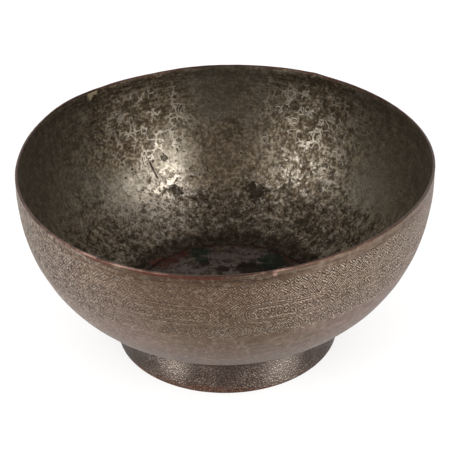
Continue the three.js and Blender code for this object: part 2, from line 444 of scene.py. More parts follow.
def fringe(turn, height):
    """Distance to a row of hanging arches, each with a drop inside it."""
    along = across(turn, FRINGE_REPEATS)
    down = FRINGE_TOP - height
    half = GIRTH / FRINGE_REPEATS / 2
    share = along / half
    arch = FRINGE_DROP * (1 - share * share)
    edge = abs(down - arch) / np.sqrt(1 + share * share * ARCH_SLANT)
    middle = down - FRINGE_DROP * DROP_AT
    drop = abs(np.sqrt(along * along * DROP_NARROWING + middle * middle) - DROP_RADIUS)
    return np.minimum(edge, drop) + ramp(down, FRINGE_FADE, -FRINGE_FADE) * FAR


def engraved(turn, height):
    """Distance to the nearest engraved line of the cartouches, the rosettes and the fringe."""
    border, outside_cartouche = cartouches(turn, height)
    in_cartouche = scroll(turn, height) + ramp(outside_cartouche, -BORDER - SCROLL_FADE, -BORDER) * FAR
    return nearest([border, in_cartouche, rosettes(turn, height), fringe(turn, height)])


print(f"repeats every {GIRTH / TEETH:.1f}, {GIRTH / BAND_REPEATS:.1f} and {GIRTH / FRINGE_REPEATS:.1f} mm")

# %% [markdown]
# ## Hammer marks
#
# Both faces of raised sheet carry the marks of the hammer: shallow dents that meet in soft ridges. The
# distance to the nearest of many scattered points, squared, gives just that form. Slow noise adds the
# larger unevenness that a reflection shows before the eye sees it in the outline.

# %% Hammer marks
from mathutils import noise

DENT_SIZE = 13
DENT_DEPTH = 0.16
DENT_CURVE = 1.6
SWELL_SIZE = 55
SWELL_HEIGHT = 0.22


def uneven(points):
    """How far hammering has pushed each point inwards, in millimetres, at least 0."""
    pushed = []
    for point in points:
        dent = noise.voronoi(Vector(point / DENT_SIZE))[0][0]
        swell = noise.noise(Vector(point / SWELL_SIZE))
        dented = DENT_DEPTH * max(0, 1 - DENT_CURVE * dent * dent)
        pushed.append(dented + SWELL_HEIGHT * (0.5 + 0.5 * swell))
    return np.array(pushed)


print(f"dents of {DENT_SIZE} mm, up to {DENT_DEPTH} mm deep")

# %% [markdown]
# ## A skin of rings
#
# The body is one closed skin. It starts under the middle of the floor, runs out and up the outside, over
# the edge, and down the inside to the middle of the floor again. Each ring has its own number of points:
# many where the engraving is, half as many where the surface is plain, and fewer still near the middle.
# Where two rings differ, each span of the coarse one meets two of the fine one in three triangles.

# %% Rings to mesh
def span_faces(first, count, second, other):
    """Faces between two rings, given by their first vertex and their number of points."""
    i = np.arange(min(count, other))
    j = (i + 1) % len(i)
    if count == 1:
        i = np.arange(other)
        return np.stack([np.full(other, first), second + (i + 1) % other, second + i], axis=1).tolist()
    if other == 1:
        i = np.arange(count)
        return np.stack([first + i, first + (i + 1) % count, np.full(count, second)], axis=1).tolist()
    if count == other:
        return np.stack([first + i, first + j, second + j, second + i], axis=1).tolist()
    if count < other:
        low, high = first + i, first + j
        a, b, c = second + 2 * i, second + 2 * i + 1, second + 2 * j
        faces = [(low, high, b), (low, b, a), (high, c, b)]
    else:
        low, high = second + i, second + j
        a, b, c = first + 2 * i, first + 2 * i + 1, first + 2 * j
        faces = [(a, b, low), (b, high, low), (b, c, high)]
    return np.concatenate([np.stack(face, axis=1) for face in faces]).tolist()


def skin(name, rings, closed):
    """A smooth mesh through rings of points in millimetres, and for each face the ring that it follows.

    A closed one joins its last ring to its first. An open one whose end rings have more than one point
    gets a face across each end.
    """
    starts = np.cumsum([0] + [len(ring) for ring in rings]).tolist()
    pairs = list(zip(range(len(rings)), list(range(1, len(rings))) + ([0] if closed else [])))
    faces, follows = [], []
    for k, after in pairs:
        made = span_faces(starts[k], len(rings[k]), starts[after], len(rings[after]))
        faces += made
        follows += [k] * len(made)
    if not closed and len(rings[0]) > 1:
        faces += [list(range(len(rings[0])))[::-1], list(range(starts[-2], starts[-1]))]
        follows += [0, len(rings) - 1]
    mesh = bpy.data.meshes.new(name)
    mesh.from_pydata(np.concatenate(rings) * MM, [], faces)
    mesh.shade_smooth()
    return mesh, follows


def spaced(start, end, spacing):
    """Values from start to end, both included, no further apart than the spacing."""
    return np.linspace(start, end, max(2, math.ceil(abs(end - start) / spacing) + 1))


print("a skin can halve or double its number of points at a ring")

# %% [markdown]
# ## The rows of the body
#
# Rows lie close together across the engraving, with one at the bottom of each scribed line and one at
# each of its edges, so that these lines are real grooves in the mesh. Lower down and inside they lie
# further apart. The inside is the outside moved in along its normal by the thickness of the sheet.

# %% Rows of the body
FINE_COLUMNS = 640
GROOVE_HALF = 0.35
ENGRAVED_ROW = 0.95
PLAIN_ROW = 2.3
INSIDE_ROW = 2.0
STEP_ROW = 0.8
EDGE_STEPS = 8
ENGRAVED_BOTTOM = 74
# A ring with less than this radius has so many points
COLUMN_LIMITS = {6: 40, 13: 80, 27: 160, 70: 320}


def engraved_rows():
    """Heights of the rows from below the fringe to the rim."""
    fixed = [ENGRAVED_BOTTOM, HEIGHT]
    for line in SCRIBED_LINES:
        fixed += [line - GROOVE_HALF, line, line + GROOVE_HALF]
    fixed.sort()
    rows = []
    for low, high in zip(fixed[:-1], fixed[1:]):
        rows += list(spaced(low, high, ENGRAVED_ROW)[:-1])
    return np.array(rows + [HEIGHT])


def outside_outline(plain_row, step_row):
    """Radius and height of the outside's rows, from the middle of the underside to the rim."""
    trough = ROUNDEL_RADIUS + STEP_WIDTH
    floor = np.concatenate([
        spaced(0, ROUNDEL_RADIUS, plain_row)[:-1],
        spaced(ROUNDEL_RADIUS, trough, step_row)[:-1],
    ])
    # Equal steps of this angle are nearly equal steps along the superellipse
    low = math.asin((trough / RIM_RADIUS) ** (FULLNESS / 2))
    high = math.acos(((HEIGHT - ENGRAVED_BOTTOM) / WALL_DEPTH) ** (FULLNESS / 2))
    angle = spaced(low, high, plain_row / WALL_DEPTH)[:-1]
    wall = RIM_RADIUS * np.sin(angle) ** (2 / FULLNESS)
    radius = np.concatenate([floor, wall, wall_radius(engraved_rows())])
    height = np.concatenate([underside_height(floor), wall_height(wall), engraved_rows()])
    return radius, height


def inward(radius, height):
    """Unit normals of an outline that runs outwards and up, towards the hollow of the bowl."""
    along = np.stack([np.gradient(radius), np.gradient(height)], axis=1)
    along[0] = (1, 0)
    along[-1] = (0, 1)
    along /= np.linalg.norm(along, axis=1)[:, None]
    return np.stack([-along[:, 1], along[:, 0]], axis=1)


radius, height = outside_outline(PLAIN_ROW, STEP_ROW)
print(len(radius), "rows outside, of which", len(engraved_rows()), "are in the engraved zone")

# %% [markdown]
# ## The body
#
# Every ring is laid out round, pushed in by the hammer marks, cut by the engraving, and then taken out of
# round. The hammer marks fade towards the foot, where the bowl needs a true seat, and are faint along the
# rim. Two numbers stay on each vertex for the materials: its height on the true form, which the bands
# follow, and how far it is below the rim, which the bare copper follows.

# %% Mesh of the body
CUT_DEPTH = 0.16
SCRIBED_DEPTH = 0.09
CUT_HALF = 0.9
CUT_FLAT = 0.1
NICK_SIZE = 9
NICK_HEIGHT = 0.22
# Heights between which the hammer marks set in
HAMMERED = (16, 30)
TRUED_EDGE = 4
TRUED_SHARE = 0.75
TINY = 0.01
OUTSIDE, OVER_EDGE, INSIDE = -1, 0, 1


def columns_at(radius, engraved_zone):
    """Number of points of a ring: few near the middle, and most where the engraving is."""
    for limit, count in COLUMN_LIMITS.items():
        if radius < limit:
            return count
    return FINE_COLUMNS if engraved_zone else FINE_COLUMNS // 2


def cut(turn, height):
    """Depth of the engraving that the mesh itself carries."""
    lines = ramp(scribed(height), GROOVE_HALF, 0) * SCRIBED_DEPTH
    motifs = ramp(engraved(turn, height), CUT_HALF, CUT_FLAT) * CUT_DEPTH
    return np.maximum(lines, motifs)


def body_ring(radius, height, normal, side, zone):
    """One ring, in millimetres, whose side is outside, over the edge or inside."""
    if radius < TINY:
        return np.array([[0.0, 0.0, height]])
    count = columns_at(radius, zone)
    angle = np.arange(count) * (FULL_TURN / count)
    ring = np.stack([radius * np.cos(angle), radius * np.sin(angle), np.full(count, height)], axis=1)
    trued = TRUED_SHARE * ramp(height, HEIGHT - TRUED_EDGE, HEIGHT)
    push = uneven(ring) * ramp(height, *HAMMERED) * (1 - trued)
    if side == OUTSIDE and zone:
        push = push + cut(angle / FULL_TURN, np.full(count, float(height)))
    moved_radius = radius + push * normal[0]
    moved_height = height + push * normal[1]
    if side == OVER_EDGE:
        places = [Vector((math.cos(a), math.sin(a), 0)) * (RIM_RADIUS / NICK_SIZE) for a in angle]
        nicks = np.abs([noise.noise(place) for place in places])
        moved_height = moved_height - NICK_HEIGHT * nicks * normal[2]
    return out_of_round(moved_radius, angle, moved_height)


def body_rows():
    """Every row of the body, in order: radius, height, normal, side, engraved zone, depth below the rim."""
    radius, height = outside_outline(PLAIN_ROW, STEP_ROW)
    rows = []
    for r, z, n in zip(radius, height, inward(radius, height)):
        rows.append((r, z, (*n, 0), OUTSIDE, z > ENGRAVED_BOTTOM - TINY, HEIGHT - z))
    half = RIM_THICKNESS / 2
    for angle in np.linspace(0, math.pi, EDGE_STEPS + 1)[1:-1]:
        r = RIM_RADIUS - half + half * math.cos(angle)
        z = HEIGHT + half * RIM_CROWN * math.sin(angle)
        rows.append((r, z, (-1, 0, math.sin(angle)), OVER_EDGE, True, 0))
    radius, height = outside_outline(INSIDE_ROW, STEP_ROW)
    engraved_count = len(engraved_rows())
    upper = wall_radius(spaced(ENGRAVED_BOTTOM, HEIGHT, INSIDE_ROW))
    radius = np.concatenate([radius[:-engraved_count], upper])
    height = np.concatenate([height[:-engraved_count], spaced(ENGRAVED_BOTTOM, HEIGHT, INSIDE_ROW)])
    normals = inward(radius, height)
    thick = sheet_thickness(radius, height)[:, None]
    inner = np.stack([radius, height], axis=1) + normals * thick
    for (r, z), n, below in list(zip(inner, normals, HEIGHT - height))[::-1]:
        rows.append((max(r, 0), z, (*n, 0), INSIDE, below < TINY, below))
    return rows


def keep_on_vertices(mesh, name, values):
    """Stores one number for each vertex, which a material can read by its name."""
    mesh.attributes.new(name, "FLOAT", "POINT").data.foreach_set("value", np.asarray(values, np.float32))


rows = body_rows()
rings = [body_ring(*row[:5]) for row in rows]
body_mesh, face_rows = skin("bowl", rings, closed=False)
for name, column in (("height_mm", 1), ("edge_mm", 5)):
    values = [np.full(len(ring), row[column]) for ring, row in zip(rings, rows)]
    keep_on_vertices(body_mesh, name, np.concatenate(values))
triangles = sum(len(face.vertices) - 2 for face in body_mesh.polygons)
print(len(body_mesh.vertices), "vertices and", triangles, "triangles")

# %% [markdown]
# ## The foot
#
# The foot is a strip bent round until its ends lap at the back. Both ends are thinned, so that the lap is
# only half a millimetre thicker than the rest. Its outside was matted with a small punch, one blow beside
# another. The punch marks are real dents in the mesh here, because the light on the foot shows little
# else. Its corners are rounded off, since a sharp corner on worn metal looks wrong at any distance.

# %% Mesh of the foot
FOOT_TOP_RADIUS = 64.4
FOOT_RADIUS = 67.2
FOOT_FLARE = 1.8
FOOT_THICKNESS = 1.3
LAP_AT = math.pi / 2
LAP_LENGTH = 9
SCARF_LENGTH = 14
SCARF_THICKNESS = 0.7
SPELTER_THICKNESS = 0.4
SEAT_GAP = 0.3
FILL_GAP = 0.08
FOOT_TOP = wall_height(FOOT_TOP_RADIUS) - SEAT_GAP
SEAT_SLOPE = (wall_height(FOOT_TOP_RADIUS) - wall_height(FOOT_TOP_RADIUS - FOOT_THICKNESS)) / FOOT_THICKNESS
STRIP_LENGTH = FULL_TURN * FOOT_RADIUS + LAP_LENGTH
UNDER_DEPTH = SCARF_THICKNESS + SPELTER_THICKNESS
FOOT_COLUMN = 0.5
FOOT_ROWS = 38
FOOT_INSIDE_ROWS = 12
CORNER = 0.28
CORNER_ROWS = 2
CORNER_CURVE = 0.3
PUNCH_SIZE = 1.3
PUNCH_DEPTH = 0.12
PUNCH_CURVE = 2.2
# At the lower of these heights so much is left of the punch marks, and at the upper one all
RUBBED_FOOT = (1, 5)
PUNCH_LEFT = 0.35


def foot_radius(height):
    """Outside radius of the foot: it spreads towards the table."""
    down = np.clip(1 - height / FOOT_TOP, 0, 1)
    return FOOT_TOP_RADIUS + (FOOT_RADIUS - FOOT_TOP_RADIUS) * down ** FOOT_FLARE


def strip_angle(along):
    """Angle round the axis at a distance along the strip."""
    return LAP_AT + (along - LAP_LENGTH / 2) / FOOT_RADIUS


def strip_faces(along):
    """Depths of the strip's two faces below the foot's outside."""
    first_end = 1 - ramp(along, LAP_LENGTH, SCARF_LENGTH)
    last_end = 1 - ramp(STRIP_LENGTH - along, LAP_LENGTH, SCARF_LENGTH)
    inner = FOOT_THICKNESS + (UNDER_DEPTH + SCARF_THICKNESS - FOOT_THICKNESS) * first_end
    return UNDER_DEPTH * first_end, inner + (SCARF_THICKNESS - inner) * last_end


def layer_outline(outer, inner, margin, corner, outer_rows, inner_rows):
    """Radius and height round a layer of the foot between two depths, with its corners rounded."""
    faces = []
    step = corner * CORNER_CURVE
    for depth, count in ((outer, outer_rows), (inner, inner_rows)):
        top = FOOT_TOP - SEAT_SLOPE * depth - margin
        heights = np.linspace(margin + corner, top - corner, count)
        heights = np.concatenate([[margin, margin + step], heights, [top - step, top]])
        way = 1 if depth == inner else -1
        tuck = np.zeros(len(heights))
        tuck[[0, -1]] = corner
        tuck[[1, -2]] = step
        faces.append(np.stack([foot_radius(heights) - depth + way * tuck, heights], axis=1))
    return np.concatenate([faces[0], faces[1][::-1]])


def place_outline(outline, angle):
    """An outline of radius and height, turned to its angle round the axis."""
    r, z = outline[:, 0], outline[:, 1]
    return np.stack([r * math.cos(angle), r * math.sin(angle), z], axis=1)


def punched(along, outline):
    """How deep the punch has gone at each point of an outline: only on its outer face."""
    depth = np.zeros(len(outline))
    for k in range(CORNER_ROWS, CORNER_ROWS + FOOT_ROWS):
        height = outline[k, 1]
        gap = noise.voronoi(Vector((along, height, 0)) / PUNCH_SIZE)[0][0]
        # The lowest few millimetres have been rubbed down on tables
        left = PUNCH_LEFT + (1 - PUNCH_LEFT) * ramp(height, *RUBBED_FOOT)
        depth[k] = max(0, 1 - PUNCH_CURVE * gap * gap) * left
    return depth


def foot_strip():
    """The whole strip, from its outer end to its inner one, and the depth of its punch marks."""
    places = np.linspace(0, STRIP_LENGTH, math.ceil(STRIP_LENGTH / FOOT_COLUMN) + 1)[::-1]
    sections, depths = [], []
    for along in places:
        outer, inner = strip_faces(along)
        outline = layer_outline(outer, inner, 0, CORNER, FOOT_ROWS, FOOT_INSIDE_ROWS)
        depth = punched(along, outline)
        outline[:, 0] -= PUNCH_DEPTH * depth
        sections.append(place_outline(outline, strip_angle(along)))
        depths.append(depth)
    return skin("foot", sections, closed=False)[0], np.concatenate(depths)


foot_mesh, punch_depths = foot_strip()
keep_on_vertices(foot_mesh, "punch", punch_depths)
print(len(foot_mesh.polygons), "faces on the foot")

# %% [markdown]
# ## Solder and spelter
#
# The foot's lap was brazed with brass spelter, which squeezed out past the strip's outer end. Soft solder
# then filled the corners between foot and body, and its face was left hollow by the wiping. All three are
# sweeps of small outlines. Real fillets are lumpy, so slow noise moves their free faces.

# %% Meshes of the solder beads and the seam
SPELTER_BEAD = 1.6
SPELTER_FILM = 0.15
SPELTER_SHORT = 0.6
SPELTER_ROWS = 14
SPELTER_BEAD_ROWS = 6
SPELTER_FACE_ROWS = 16
SPELTER_ROUND = 0.7
SPELTER_CORNER = 0.05
OUTER_BEAD = 2.4
INNER_BEAD = 3.4
BEAD_HOLLOW = 0.3
BEAD_COLUMNS = 360
BEAD_FACE_STEPS = 6
LUMP_SIZE = 5
LUMP_HEIGHT = 0.16


def hollow_face(low, high, corner, angle):
    """Points of a bead's free face, curved towards the corner that it fills, with its lumps."""
    low, high, corner = np.array(low), np.array(high), np.array(corner)
    middle = corner + ((low + high) / 2 - corner) * 2 * BEAD_HOLLOW
    pull = 2 * middle - (low + high) / 2
    share = np.linspace(0, 1, BEAD_FACE_STEPS + 1)[:, None]
    face = (1 - share) ** 2 * low + 2 * share * (1 - share) * pull + share ** 2 * high
    spot = Vector((math.cos(angle), math.sin(angle), 0)) * (FOOT_RADIUS / LUMP_SIZE)
    out = (low + high) / 2 - corner
    out /= np.linalg.norm(out)
    return face + out * LUMP_HEIGHT * noise.noise(spot) * 4 * share * (1 - share)


def sweep_round(name, outline_at):
    """A closed ring. Its outline may change with the angle, and runs anticlockwise, radius to the right."""
    angles = np.arange(BEAD_COLUMNS) * (-FULL_TURN / BEAD_COLUMNS)
    return skin(name, [place_outline(outline_at(a), a) for a in angles], closed=True)[0]


def outer_bead(angle):
    """Outline of the solder outside the foot."""
    low_height = FOOT_TOP - OUTER_BEAD
    corner_radius = FOOT_TOP_RADIUS + FILL_GAP
    end_radius = FOOT_TOP_RADIUS + OUTER_BEAD
    low = (float(foot_radius(low_height)) + FILL_GAP, low_height)
    high = (end_radius, wall_height(end_radius) - FILL_GAP)
    corner = (corner_radius, wall_height(corner_radius) - FILL_GAP)
    return np.concatenate([hollow_face(low, high, corner, angle), [corner]])


def inner_bead(angle):
    """Outline of the solder inside the foot, with room for the lap's double thickness."""
    from_lap = abs((angle - LAP_AT + math.pi) % FULL_TURN - math.pi) * FOOT_RADIUS
    near_lap = 1 - ramp(from_lap, SCARF_LENGTH, 2 * SCARF_LENGTH)
    depth = FOOT_THICKNESS + (UNDER_DEPTH + SCARF_THICKNESS - FOOT_THICKNESS) * near_lap + FILL_GAP
    low_height = FOOT_TOP - INNER_BEAD
    corner_radius = FOOT_TOP_RADIUS - depth
    radii = [corner_radius - share * INNER_BEAD for share in (0, 0.5, 1)]
    under = [(r, underside_height(r) - 2 * FILL_GAP) for r in radii]
    low = (float(foot_radius(low_height)) - depth, low_height)
    face = hollow_face(low, under[2], under[0], angle)
    return np.concatenate([under, face[::-1]])


def seam_spelter():
    """The layer in the lap, and the bead that it leaves along the strip's outer end."""
    in_lap = np.linspace(0, LAP_LENGTH + FILL_GAP, SPELTER_ROWS)
    rows = [(along, SCARF_THICKNESS + FILL_GAP) for along in in_lap]
    start, end = LAP_LENGTH + 2 * FILL_GAP, LAP_LENGTH + SPELTER_BEAD
    low = strip_faces(end)[0] - FILL_GAP - SPELTER_FILM
    for share in np.linspace(0, 1, SPELTER_BEAD_ROWS):
        rows.append((start + (end - start) * share, FILL_GAP + (low - FILL_GAP) * share ** SPELTER_ROUND))
    shape = (SPELTER_SHORT, SPELTER_CORNER, SPELTER_FACE_ROWS, SPELTER_FACE_ROWS)
    sections = []
    for along, outer in rows[::-1]:
        outline = layer_outline(outer, strip_faces(along)[0] - FILL_GAP, *shape)
        sections.append(place_outline(outline, strip_angle(along)))
    return skin("seam_spelter", sections, closed=False)[0]


spelter_mesh = seam_spelter()
outer_bead_mesh = sweep_round("outer_solder", outer_bead)
inner_bead_mesh = sweep_round("inner_solder", inner_bead)
print(len(outer_bead_mesh.vertices), "vertices on the outer solder")

# %% [markdown]
# ## Bare copper
#
# Along the rim the tin has rubbed away, and the edge of the sheet shows as a fine pink line. Copper is a
# metal, so it has no colour of its own but that of its reflection: it is fully metallic, with the default
# index of refraction. Handling polishes it, and the air browns it again in patches. Only the outer half
# of the edge is rubbed: the inner half is nearly black, and the direction that a point faces tells which
# half it is on.
#
# The functions that every finish needs come first. A finish is a base colour under coats of others. The
# two numbers in a ramp say where a coat sets in and where it is full, and the factor after it says how
# well it covers.

# %% Copper
COPPER_BRIGHT = "#B59387"
COPPER_BROWN = "#4A362E"
COPPER_RED = "#4C2720"
COPPER_DARK = "#33201A"
COPPER_TARNISHED = "#4B3D34"
RUBBED_RIM = [((-70, -98, 118), 60), ((22, -118, 118), 14)]
TARNISHED_RIM = [((120, -30, 118), 100)]


def start(name):
    """A new material, the place in millimetres, and that place's x, y and z."""
    material = bpy.data.materials.new(name)
    material.use_nodes = True
    tree = material.node_tree
    tree.nodes.clear()
    metres = add_node(tree, "TexCoord", out="Object")
    place = add_node(tree, "VectorMath", {0: metres, "Scale": 1 / MM}, operation="SCALE")
    return material, place, [add_node(tree, "SeparateXYZ", (place,), out=axis) for axis in "XYZ"]


def patches(place, size, detail=2.0):
    """Soft noise from 0 to 1, whose patches are about so many millimetres wide."""
    return add_node(place.tree, "TexNoise", {"Vector": place, "Scale": 1 / size, "Detail": detail})


def cells(place, size, feature="F1"):
    """Distance, as a share of the size, to the nearest scattered point or to the border between two."""
    return add_node(place.tree, "TexVoronoi", {"Vector": place, "Scale": 1 / size}, feature=feature)


def mixed(share, first, second):
    """The first colour where the share is 0, and the second where it is 1."""
    return add_node(share.tree, "MixRGB", {"Fac": share, "Color1": first, "Color2": second})


def bumps(height):
    """The normal of a surface that stands so many millimetres higher or lower from point to point."""
    return add_node(height.tree, "Bump", {"Height": height, "Strength": 1.0, "Distance": MM})


def metal(base, roughness, height):
    """A metal with its colour, its roughness and its fine relief in millimetres."""
    sockets = {"Base Color": base, "Roughness": roughness, "Metallic": 1.0, "Normal": bumps(height)}
    shader = add_node(base.tree, "BsdfPrincipled", sockets)
    add_node(base.tree, "OutputMaterial", {"Surface": shader})


def layered(base, coats):
    """A colour under coats of others, the last on top. Each coat has its share and its hex code."""
    for share, code in coats:
        base = mixed(share, base, colour(code))
    return base


def kept(place, name):
    """The number of that name that the mesh keeps on its vertices."""
    return add_node(place.tree, "Attribute", out="Fac", attribute_name=name)


def smeared(place, length, height):
    """Noise in level streaks, so many millimetres long and high."""
    squeeze = (1 / length, 1 / length, 1 / height)
    squeezed = add_node(place.tree, "VectorMath", {0: place, 1: squeeze}, operation="MULTIPLY")
    return patches(squeezed, 1, 3.0)


def most(values):
    """The greatest of several values."""
    return reduce(np.maximum, values)


def distance(one, other):
    """Distance between two places."""
    return add_node(one.tree, "VectorMath", {0: one, 1: other}, out="Value", operation="DISTANCE")


def spots(place, ragged, places):
    """Ragged spots, each with its middle and its radius in millimetres."""
    away = [distance(place, middle) / size for middle, size in places]
    return most([ramp(share + ragged, 1.15, 0.75) for share in away])


def near(place, places):
    """1 in the middle of broad soft areas, and 0 beyond their radius."""
    return most([ramp(distance(place, middle), size, 0.0) for middle, size in places])


def copper_colour(place):
    """Bright where hands rub it, mostly in front, brown in between, and nearly black in specks."""
    in_front = near(place, RUBBED_RIM)
    rubbed = ramp(patches(place, 9) + in_front * 0.2, 0.5, 0.76) * (in_front * 0.4 + 0.12)
    return layered(colour(COPPER_BROWN), [
        (rubbed, COPPER_BRIGHT),
        (near(place, TARNISHED_RIM) * 1.6, COPPER_TARNISHED),
        (ramp(patches(place, 1.2), 0.6, 0.72), COPPER_DARK),
    ])


def bare_copper():
    """Copper sheet, hammered and filed along its edge, and rubbed bright by hands."""
    material, place, (x, y, _) = start("bare_copper")
    facing = add_node(place.tree, "NewGeometry", out="Normal")
    facing_x, facing_y = [add_node(place.tree, "SeparateXYZ", (facing,), out=axis) for axis in "XY"]
    outwards = (facing_x * x + facing_y * y) / np.sqrt(x * x + y * y)
    base = layered(copper_colour(place), [(ramp(outwards, 0.3, -0.3) * 0.7, COPPER_DARK)])
    fine = patches(place, 0.6)
    metal(base, fine * 0.2 + 0.3, fine * 0.03)
    return material


print("copper runs from", COPPER_BROWN, "to", COPPER_BRIGHT)

# %% [markdown]
# ## Engraved tin, outside
#
# The outside is hot-dipped tin, a few hundredths of a millimetre thick, gone dull and brown with age. The
# engraver's chisel cut through it, grime settled in the cuts, and the raised lips of each cut were rubbed
# pale again. The formulas that cut the mesh draw these lines too, and others add the saw teeth and the
# hatching. Hatching is about a millimetre apart on such bowls. It is drawn at nearly two here, because
# anything finer would vanish in the picture. The engraving is crisp at the right and behind, rubbed in
# the middle of the front, and full of small pricks at the left.

# %% Engraved tin
from types import SimpleNamespace

TIN_WARM = "#776556"
TIN_PINK = "#7A665D"
TIN_PALE = "#B5A899"
GRIME = "#3A2D26"
STAIN = "#5A4838"
STROKE_HALF = 0.42
STROKE_CORE = 0.08
TOOTH_HALF = 0.35
LIP_AT = 0.72
LIP_HALF = 0.35
LIP_CORE = 0.05
SOFT = 0.2
# The hatching sets in between the first two heights, and ends between the other two
HATCHED_FROM = (75.5, 77)
HATCHED_TO = (112.6, 111.6)
HATCH_PITCH = 1.8
HATCH_REPEATS = round(GIRTH / HATCH_PITCH)
MATTING_SIZE = 1.5
HAND_WANDER = 0.9
HAND_JITTER = 1.6
RED_EDGE = [((-22, -117, 117), 24), ((-60, -101, 117), 10)]
BRIGHT_EDGE = [((22.7, -117.7, 117), 2.4)]
# Painted shade: the front of the outside, which faces the camera, darkened with stain colour
SHADED_FRONT = [((-8, -119, 108), 66), ((0, -108, 64), 60)]
# Painted shadow: a dark band just under the rim, at the front
UNDER_RIM_SHADOW = [((-14, -119, 117), 46)]
STAINS = [((-12, -119, 107), 36), ((20, -116, 84), 16), ((-40, -110, 112), 14)]


def by_hand(place, x, y, height):
    """Turn and height of each point, off by as much as an engraver's hand is."""
    slow = (patches(place, 12) - 0.5) * HAND_WANDER
    quick = (patches(place, 2.5) - 0.5) * HAND_JITTER
    wander = slow + quick
    return np.arctan2(y, x) / FULL_TURN + wander / GIRTH, height + wander


def crispness(x, y):
    """How well the engraving has kept, from 0 to 1."""
    right = ramp(x, -30, 70) * (1.0 - ramp(x, 86, 112) * 0.75)
    return most([right, ramp(x, -30, -80) * 0.65, ramp(y, 20, 90) * 0.8])


def hatching(place, turn, level, in_teeth, above):
    """Distance, as a share of the pitch, to slanting strokes. They lean one way or the other in patches."""
    leaning = ramp(patches(place, 4), 0.47, 0.53) * (1.0 - in_teeth)
    leaning = leaning + ramp(above, -SOFT, SOFT) * in_teeth
    climb = level / HATCH_PITCH
    one, other = [abs((turn * HATCH_REPEATS + climb * way) % 1 - 0.5) for way in (1, -1)]
    return one * leaning + other * (1.0 - leaning)


def engraver_marks(place, turn, level, height, crisp):
    """What the engraver's tools have left, each from 0 to 1."""
    to_line = engraved(turn, level)
    above = zigzag(turn, level)
    in_teeth = ramp(level, TEETH_LOW - SOFT, TEETH_LOW + SOFT)
    in_teeth = in_teeth * ramp(level, TEETH_HIGH + SOFT, TEETH_HIGH - SOFT)
    in_bands = ramp(height, *HATCHED_FROM) * ramp(height, *HATCHED_TO)
    hatch = hatching(place, turn, level, in_teeth, above)
    worn = ramp(patches(place, 8), 0.35, 0.6)
    chatter = patches(place, 1.3, 3.0)
    bitten = ramp(chatter, 0.35, 0.6)
    strokes = ramp(hatch, 0.24, 0.1) * ramp(chatter, 0.36, 0.6) * (crisp * 1.15 + 0.3)
    faces = ramp(hatch, 0.28, 0.42) * ramp(chatter, 0.4, 0.6)
    between_lines = ramp(to_line, 0.3, 0.7) * in_bands
    return SimpleNamespace(
        line=ramp(to_line, STROKE_HALF, STROKE_CORE) * (worn * 0.5 + 0.5),
        scribe=ramp(scribed(level), STROKE_HALF, STROKE_CORE) * worn,
        teeth=ramp(abs(above), TOOTH_HALF, STROKE_CORE) * in_teeth * bitten,
        lip=ramp(abs(to_line - LIP_AT), LIP_HALF, LIP_CORE) * bitten * (crisp * 0.7 + 0.5),
        strokes=strokes * between_lines,
        faces=faces * between_lines,
        dots=ramp(cells(place, MATTING_SIZE), 0.4, 0.15) * ramp(to_line, 0.3, 0.8) * in_bands,
    )


def pricking(place, x, height):
    """How far the pricked ground at the left reaches, its pale flecks and its pricks."""
    reach = ramp(x, -35, -85)
    flecks = ramp(patches(place, 1.7, 1.0), 0.44, 0.37) * reach * 0.7
    pricks = ramp(patches(place, 2.0, 1.0), 0.56, 0.62) * reach * ramp(height, 60, 80)
    return reach, flecks, pricks


def worn_edge(place, base, edge, ragged):
    """A colour with the rim's bare copper over it, reddened in places and bright in one nick."""
    bare = ramp(edge + (patches(place, 11) - 0.5) * 3, 0.3, -0.1)
    reddened = spots(place, ragged * 0.3, RED_EDGE) * ramp(edge + ragged * 0.5, 2.2, 1.2)
    return layered(mixed(bare, base, copper_colour(place)), [
        (reddened * 0.65, COPPER_RED),
        (spots(place, ragged * 0.3, BRIGHT_EDGE), COPPER_BRIGHT),
    ])


